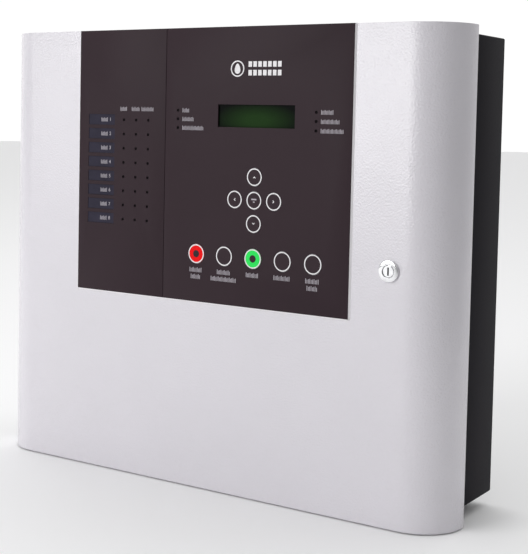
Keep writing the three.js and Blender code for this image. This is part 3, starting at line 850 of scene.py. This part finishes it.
def board_passives():
    """Rows of small resistors, and capacitor cans."""
    rows = {
        "display_board": [(-10, 40, 6), (60, 52, 7), (10, 90, 5)],
        "zone_board": [(-76, 36, 4), (-76, 58, 4), (-76, 80, 4), (-76, 102, 4)],
        "main_board": [
            (-130, 84, 9), (-60, 90, 8), (-130, -5, 7), (-60, 74, 7), (-90, 40, 3), (10, 30, 6), (-20, 16, 6),
        ],
    }
    for board, runs in rows.items():
        bm = bmesh.new()
        for x, z, count in runs:
            for i in range(count):
                add_part(bm, board, x + i * 5, z, 3.2, 1.6, 0.9)
        piece(f"{board}_resistors", bm, "black_plastic", BOARD_PARTS[board][1], 30)
    cans = bmesh.new()
    places = [(-90, -8, 6.5, 20), (-72, -8, 6.5, 20), (-6, 56, 5, 14), (6, 56, 5, 14), (47, 88, 8, 22)]
    for x, z, radius, tall in places:
        add_can(cans, "main_board", x, z, radius, tall)
    piece("main_board_capacitors", cans, "core_steel", "box", 35)
    buzzer = bmesh.new()
    add_can(buzzer, "display_board", 20, 8, 6, 7)
    piece("buzzer", buzzer, "black_plastic", "door", 35)


def standoff_nuts():
    """A hexagonal nut on each board stud."""
    bore, flat, corner, edge, height = 1.45 * MM, 2.9 * MM, 3.1 * MM, 0.3 * MM, 2.2 * MM
    profile = [(bore, 0), (flat, 0), (corner, edge), (corner, height - edge), (flat, height), (bore, height)]
    profile.append(profile[0])
    for name in [n for n in NODES if "standoff" in n]:
        centre = middle(name)
        on_door = name.startswith("display")
        board_low, board_high = span("display_board" if on_door else "main_board")
        y0 = board_high.y + 0.1 * MM if on_door else board_low.y - 0.1 * MM - height
        bm = bmesh.new()
        add_turned(bm, (centre.x, y0, centre.z), profile, 6)
        bmesh.ops.remove_doubles(bm, verts=bm.verts, dist=1e-7)
        piece(f"{name}_nut", bm, "zinc_steel", "door" if on_door else "box")


def terminal_rows():
    """The screw terminals: a stepped block for each, with wire mouths and screws."""
    head = [(0, 0), (1.3 * MM, 0), mm(1.5, 0.2), mm(1.5, 1.0), (0, 1.0 * MM)]
    for name, count in (("zone_terminals", 16), ("output_terminals", 16), ("battery_terminals", 4)):
        low, high = span(name)
        pitch = (high.x - low.x) / count
        gap, nose = 0.12 * MM, low.y + 3.1 * MM
        blocks = bmesh.new()
        screws = bmesh.new()
        for i in range(count):
            x0, x1 = low.x + i * pitch, low.x + (i + 1) * pitch
            add_block(blocks, (x0 + gap, low.y + 3 * MM, low.z), (x1 - gap, high.y, high.z), 0.3 * MM)
            add_block(blocks, (x0 + gap, low.y, low.z + 4.2 * MM), (x1 - gap, nose, low.z + 7 * MM), 0.3 * MM)
            for side in (x0 + gap, x1 - 0.9 * MM):
                add_block(blocks, (side, low.y, low.z), (side + 0.8 * MM, nose, low.z + 4.3 * MM), 0.15 * MM)
            centre = ((x0 + x1) / 2, low.y + 2.2 * MM, low.z + 8.4 * MM)
            add_turned(screws, centre, head, 20)
        made = piece(f"{name}_blocks", blocks, "green_plastic", "box", 30)
        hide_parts(name)
        piece(f"{name}_screws", screws, "zinc_steel", "box", 30)


def relay_and_supply():
    """A second relay, the mains fuse holder with its fuse, and the screws of the mains terminal block."""
    bm = bmesh.new()
    low, high = span("alarm_relay")
    beside = Vector((24 * MM, 0, 0))
    add_block(bm, low + beside, high + beside, 0.8 * MM)
    piece("fire_relay", bm, "white_plastic", "box", 30)
    bm = bmesh.new()
    add_block(bm, mm(100, -8, -16), mm(132, -1.8, -3), 0.6 * MM)
    for x in (102, 125):
        add_block(bm, (x * MM, -15 * MM, -14 * MM), ((x + 5) * MM, -7.9 * MM, -5 * MM), 0.5 * MM)
    piece("mains_fuse_holder", bm, "black_plastic", "box", 30)
    bm = bmesh.new()
    fuse = [(0, 0), (2.4, 0), (2.6, 0.3), (2.6, 5), (2.3, 5.2)]
    fuse += [(radius, 20 - along) for radius, along in fuse[::-1]]
    profile = [mm(*point) for point in fuse]
    add_turned(bm, mm(106, -12, -9.5), profile, 24, "X")
    piece("mains_fuse", bm, "chrome", "box", 35)
    bm = bmesh.new()
    low, high = span("mains_terminal_block")
    for i in range(3):
        x = low.x + (i + 0.5) * (high.x - low.x) / 3
        head = [(0, 0), (2.2 * MM, 0), mm(2.5, -0.3), mm(2.5, -1.2), (0, -1.2 * MM)]
        add_turned(bm, (x, low.y, (low.z + high.z) / 2), head, 24)
    piece("mains_terminal_screws", bm, "zinc_steel", "box", 30)


# ---- Batteries, leads and ribbon ----
def batteries():
    """Two sealed batteries: a case, a lid with a seam, and two posts. The right one is turned round."""
    polarity = {"battery_left": ("black_lead", "red_lead"), "battery_right": ("red_lead", "black_lead")}
    inset = 0.8 * MM
    for name, colors in polarity.items():
        low, high = span(name)
        top = high.z - 5 * MM
        seam = top - 13 * MM
        bm = bmesh.new()
        add_block(bm, low, (high.x, high.y, seam - 0.4 * MM), 2 * MM, 3)
        add_block(bm, (low.x, low.y, seam + 0.4 * MM), (high.x, high.y, top), 2 * MM, 3)
        corner = (low.x + inset, low.y + inset, seam - 3 * MM)
        add_block(bm, corner, (high.x - inset, high.y - inset, seam + 3 * MM))
        made = piece(f"{name}_case", bm, "battery_case", "box", 35)
        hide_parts(name)
        for x, color in zip((low.x + 14 * MM, high.x - 14 * MM), colors):
            post = bmesh.new()
            foot = Vector((x, high.y - 13 * MM, top))
            for half_x, half_y, z0, z1, bevel in ((5, 5, -0.5, 1.6, 0.6), (2.4, 0.4, 1.5, 5, 0.2)):
                corner = foot + Vector((-half_x, -half_y, z0)) * MM
                add_block(post, corner, foot + Vector((half_x, half_y, z1)) * MM, bevel * MM)
            piece(f"{name}_post_{color.split('_')[0]}", post, color, "box", 30)


def smooth_path(points, steps):
    """Points along a Catmull-Rom curve through the given points, in metres."""
    fixed = [Vector(p) * MM for p in points]
    ends = [2 * fixed[0] - fixed[1], *fixed, 2 * fixed[-1] - fixed[-2]]
    path = []
    for i in range(1, len(ends) - 2):
        a, b, c, d = ends[i - 1:i + 3]
        for k in range(steps):
            t = k / steps
            bend = (2 * a - 5 * b + 4 * c - d) * t**2 + (3 * b - a - 3 * c + d) * t**3
            path.append(0.5 * (2 * b + (c - a) * t + bend))
    path.append(fixed[-1])
    return path


def heading(path, i):
    """The direction of a path at one of its points."""
    return (path[min(i + 1, len(path) - 1)] - path[max(i - 1, 0)]).normalized()


def add_lead(bm, route, sides=16):
    """A closed round tube along a lead's route."""
    path = smooth_path(route, 12)
    rings = []
    angles = [2 * math.pi * k / sides for k in range(sides)]
    for i, at in enumerate(path):
        along = heading(path, i)
        across = along.cross(Vector((0, 1, 0))).normalized()
        other = along.cross(across)
        spokes = [math.cos(a) * across + math.sin(a) * other for a in angles]
        rings.append([bm.verts.new(at + LEAD_WIDTH / 2 * spoke) for spoke in spokes])
    for one, two in zip(rings, rings[1:]):
        for k in range(sides):
            bm.faces.new([one[k], one[(k + 1) % sides], two[(k + 1) % sides], two[k]])
    bm.faces.new(rings[0])
    bm.faces.new(rings[-1][::-1])


# Points along each lead and the ribbon, in millimetres.
LEAD_WIDTH = 3 * MM
LEAD_ROUTES = {
    "battery_lead_red": [
        (-42, -16.7, -49.6), (-42, -16.7, -42), (-30, -20, -35),
        (-5, -23, -38), (20, -21, -36), (27.5, -19.4, -29),
    ],
    "battery_lead_black": [
        (112, -16.7, -49.6), (112, -16.7, -42), (98, -20, -36),
        (70, -23, -36), (44, -22, -38), (32.5, -19.4, -29),
    ],
}
LINK_ROUTE = [
    (-165, -16.7, -49.6), (-165, -16.7, -43), (-156, -24, -43), (-138, -34, -51), (-90, -38, -53.4),
    (-45, -38, -53.4), (-24, -30, -50), (-12, -22, -43), (-11, -16.7, -43), (-11, -16.7, -49.6),
]
RIBBON_ROUTE = [
    (-151, -20, 0), (-168, -26, 0), (-180, -42, 0), (-181, -62, 0),
    (-172, -76, 0), (-150, -84, 0), (-117, -88, 0),
]


def add_boot(bm, point):
    """A push-on terminal's sleeve over a battery post, from the point where its lead starts."""
    start = Vector(point)
    low, high = start - Vector((3.2, 1.8, 0.4)), start + Vector((3.2, 1.8, 8))
    add_block(bm, low * MM, high * MM, 0.8 * MM)


def battery_leads():
    """The two leads from the batteries to the main board, and the link between the batteries."""
    for name, route in LEAD_ROUTES.items():
        color = "red_lead" if "red" in name else "black_lead"
        bm = bmesh.new()
        add_lead(bm, route)
        made = piece(f"{name}_wire", bm, color, "box", 50)
        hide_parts(name)
        boot = bmesh.new()
        add_boot(boot, route[0])
        piece(f"{name}_boot", boot, color, "box", 35)
    bm = bmesh.new()
    add_lead(bm, LINK_ROUTE)
    piece("battery_link_wire", bm, "black_lead", "box", 50)
    boots = bmesh.new()
    add_boot(boots, LINK_ROUTE[0])
    add_boot(boots, LINK_ROUTE[-1])
    piece("battery_link_boots", boots, "black_lead", "box", 35)


def transformer_winding():
    """The transformer's coil: layers of copper wire between two flanges, round the core's middle limb."""
    low, high = span("transformer_coil")
    core_low, core_high = span("transformer_core")
    flange, layers, gap = 2.2 * MM, 13, 0.02 * MM
    step = (high.z - low.z - 2 * flange) / layers
    inset = 1.4 * MM
    wire = bmesh.new()
    for i in range(layers):
        z0 = low.z + flange + i * step
        corner = (low.x + inset, low.y + inset, z0 + gap)
        add_block(wire, corner, (high.x - inset, high.y - inset, z0 + step - gap), 0.8 * MM)
    made = piece("transformer_winding", wire, "copper_coil", None)
    limb_low = (CORE_LIMB[0] - CORE_GAP, core_low.y - CORE_GAP, core_low.z)
    limb_high = (CORE_LIMB[1] + CORE_GAP, CORE_BACK + CORE_GAP, core_high.z)
    boolean_cut(made, [block_cutter(limb_low, limb_high)], 35)
    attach(made, "box")
    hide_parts("transformer_coil")
    ends = bmesh.new()
    for z0 in (low.z, high.z - flange):
        for y0, y1 in ((low.y, limb_low[1]), (limb_high[1], high.y)):
            add_block(ends, (low.x, y0, z0), (high.x, y1, z0 + flange), 0.4 * MM)
    piece("transformer_flanges", ends, "white_plastic", "box", 30)


def circuit_rows():
    """Under each screw terminal, the small parts of its circuit: a resistor, a diode and a transistor."""
    parts = bmesh.new()
    bands = bmesh.new()
    for name in ("zone_terminals", "output_terminals"):
        low, high = (corner / MM for corner in span(name))
        for i in range(16):
            x = low.x + (i + 0.5) * (high.x - low.x) / 16
            add_part(parts, "main_board", x, low.z - 4, 1.8, 3.6, 1.4)
            add_part(bands, "main_board", x, low.z - 9, 1.6, 3.2, 1.2)
            if i % 2:
                add_part(parts, "main_board", x - 2.5, low.z - 14.5, 4.6, 3.2, 3.6)
    piece("terminal_circuit_parts", parts, "black_plastic", "box", 30)
    piece("terminal_circuit_bands", bands, "red_lead", "box", 30)


def ribbon():
    """A grey flat cable of twenty ridged conductors. It bends between the box and the door."""
    path = smooth_path(RIBBON_ROUTE, 14)
    low, high = span("ribbon_cable")
    conductors, per = 20, 6
    levels = [low.z + (high.z - low.z) * i / (conductors * per) for i in range(conductors * per + 1)]
    bm = bmesh.new()
    sides = []
    for sign in (1, -1):
        sheet = []
        for i, at in enumerate(path):
            along = heading(path, i)
            normal = Vector((-along.y, along.x, 0))
            column = []
            for k, z in enumerate(levels):
                ridge = abs(math.sin(math.pi * k / per))
                offset = sign * (0.16 + 0.28 * ridge) * MM
                column.append(bm.verts.new((at.x + normal.x * offset, at.y + normal.y * offset, z)))
            sheet.append(column)
        sides.append(sheet)
    for sheet in sides:
        for one, two in zip(sheet, sheet[1:]):
            for k in range(len(levels) - 1):
                bm.faces.new([one[k], one[k + 1], two[k + 1], two[k]])
    front, back = sides
    for k in (0, -1):
        for i in range(len(path) - 1):
            bm.faces.new([front[i][k], front[i + 1][k], back[i + 1][k], back[i][k]])
    for i in (0, -1):
        for k in range(len(levels) - 1):
            bm.faces.new([front[i][k], front[i][k + 1], back[i][k + 1], back[i][k]])
    made = piece("flat_cable", bm, "ribbon", None, 40)
    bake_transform(made)
    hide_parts("ribbon_cable")


def ribbon_sockets():
    """The plugs at the flat cable's two ends."""
    low, high = span("ribbon_cable")
    z0, z1 = low.z - 3 * MM, high.z + 3 * MM
    plugs = {
        "main_ribbon_plug": ("box", -152, -143, -22.5, -13.2),
        "door_ribbon_plug": ("door", -119, -109, -92, -85.5),
    }
    for name, (body, x0, x1, y0, y1) in plugs.items():
        bm = bmesh.new()
        add_block(bm, (x0 * MM, y0 * MM, z0), (x1 * MM, y1 * MM, z1), 0.5 * MM)
        piece(name, bm, "black_plastic", body, 30)


# ---- Lock core ----
def lock_core():
    """The lock's turning core, with its key slot and its tail."""
    low, high = span("lock_plug")
    bm = bmesh.new()
    shoulder = high.y - 3.5 * MM
    profile = [
        (0, low.y), (3.9 * MM, low.y), (4.2 * MM, low.y + 0.3 * MM), (4.2 * MM, shoulder),
        (2.5 * MM, shoulder), (2.5 * MM, high.y), (0, high.y),
    ]
    add_turned(bm, (LOCK.x, 0, LOCK.z), profile, 64)
    core = piece("lock_core", bm, "chrome", None)
    half = Vector((0.6 * MM, 0, 2.8 * MM))
    at = Vector((LOCK.x, 0, LOCK.z))
    slot_low = at - half + Vector((0, low.y - MM, 0))
    slot_high = at + half + Vector((0, low.y + 8 * MM, 0))
    boolean_cut(core, [block_cutter(slot_low, slot_high)], 35)
    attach(core, "lock")
    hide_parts("lock_plug")


# ---- Stage ----
def floor():
    """A wide pale floor below the door, its colour painted darker towards the front right: painted shade that
    darkens the door's right bend.
    """
    bm = bmesh.new()
    below = Matrix.Translation((0, 0, DOOR_LOW.z - MM))
    bmesh.ops.create_circle(bm, cap_ends=True, segments=96, radius=14, matrix=below)
    made = piece("floor", bm, "white_print", None)
    ground, tree, node = shader("floor_painted_shade", (0.93, 0.93, 0.935), 0.9, Specular_IOR_Level=0.1)
    split = tree.nodes.new("ShaderNodeSeparateXYZ")
    tree.links.new(placed(tree, Rotation=(0, 0, math.radians(37))), split.inputs["Vector"])
    # Painted shade: the floor's colour runs from pale to dark grey towards the front right.
    painted_shade_ramp = tree.nodes.new("ShaderNodeValToRGB")
    painted_shade_ramp.color_ramp.elements[0].color = (0.93, 0.93, 0.935, 1)
    painted_shade_ramp.color_ramp.elements[1].color = (0.34, 0.34, 0.345, 1)
    tree.links.new(map_range(tree, split.outputs["X"], (0.28, 1.0), (0, 1)), painted_shade_ramp.inputs["Fac"])
    tree.links.new(painted_shade_ramp.outputs["Color"], node.inputs["Base Color"])
    made.data.materials[0] = ground


def area_light(name, place, target, size, power):
    """A soft square light that faces a point."""
    data = bpy.data.lights.new(name, "AREA")
    data.size = size
    data.energy = power
    made = linked(name, data)
    made.location = place
    made.rotation_euler = (Vector(target) - Vector(place)).to_track_quat("-Z", "Y").to_euler()


def surround():
    """An even white surround behind the panel, dimmer in front of it and dimmest on its right."""
    world = bpy.data.worlds.new("studio")
    world.use_nodes = True
    tree = world.node_tree
    background = tree.nodes["Background"]
    background.inputs["Color"].default_value = (1, 1, 1, 1)
    direction = tree.nodes.new("ShaderNodeTexCoord")
    split = tree.nodes.new("ShaderNodeSeparateXYZ")
    tree.links.new(direction.outputs["Generated"], split.inputs["Vector"])
    front_to_back = map_range(tree, split.outputs["Y"], (-0.3, 0.3), (0.3, 1.02))
    left_to_right = map_range(tree, split.outputs["X"], (0.0, 0.8), (1.0, 0.45))
    overhead = map_range(tree, split.outputs["Z"], (0.3, 0.9), (1.0, 1.7))
    strength = multiply(tree, multiply(tree, front_to_back, left_to_right), overhead)
    tree.links.new(strength, background.inputs["Strength"])
    bpy.context.scene.world = world


def lights():
    """A broad soft light from the front left and a weaker one from above."""
    area_light("front_left", (-1.5, -2.9, 1.15), (0, -0.1, 0), 2.0, 54)
    area_light("above", (-0.3, -0.9, 2.4), (0, -0.3, 0), 2.0, 6)
    surround()


def camera():
    """A camera to the right of the panel, nearly level with its display."""
    azimuth, elevation, roll = (math.radians(a) for a in (32.96, 3.30, 1.24))
    level = math.cos(elevation)
    back = Vector((math.sin(azimuth) * level, -math.cos(azimuth) * level, math.sin(elevation)))
    right = Vector((math.cos(azimuth), math.sin(azimuth), 0))
    up = back.cross(right)
    turned_right = math.cos(roll) * right + math.sin(roll) * up
    turned_up = back.cross(turned_right)
    data = bpy.data.cameras.new("camera")
    data.lens = 79.4
    data.shift_y = -0.15
    data.clip_start = 0.01
    data.clip_end = 100
    made = linked("camera", data)
    rotation = Matrix((turned_right, turned_up, back)).transposed().to_4x4()
    made.matrix_world = Matrix.Translation((0.536, -0.839, 0.101)) @ rotation
    bpy.context.scene.camera = made


bpy.context.scene.view_settings.view_transform = "Standard"
camera()
lights()
floor()
dress_cad_nodes()
door_panel()
door_returns()
overlay_lip_painted_highlight()
column_marks()
status_marks()
key_label_marks()
heading_marks()
zone_labels()
key_rings()
key_centres()
key_symbols()
films()
key_caps()
lock_head()
lock_core()
box_shell()
board_chips()
board_passives()
standoff_nuts()
terminal_rows()
relay_and_supply()
batteries()
battery_leads()
transformer_winding()
circuit_rows()
ribbon()
ribbon_sockets()
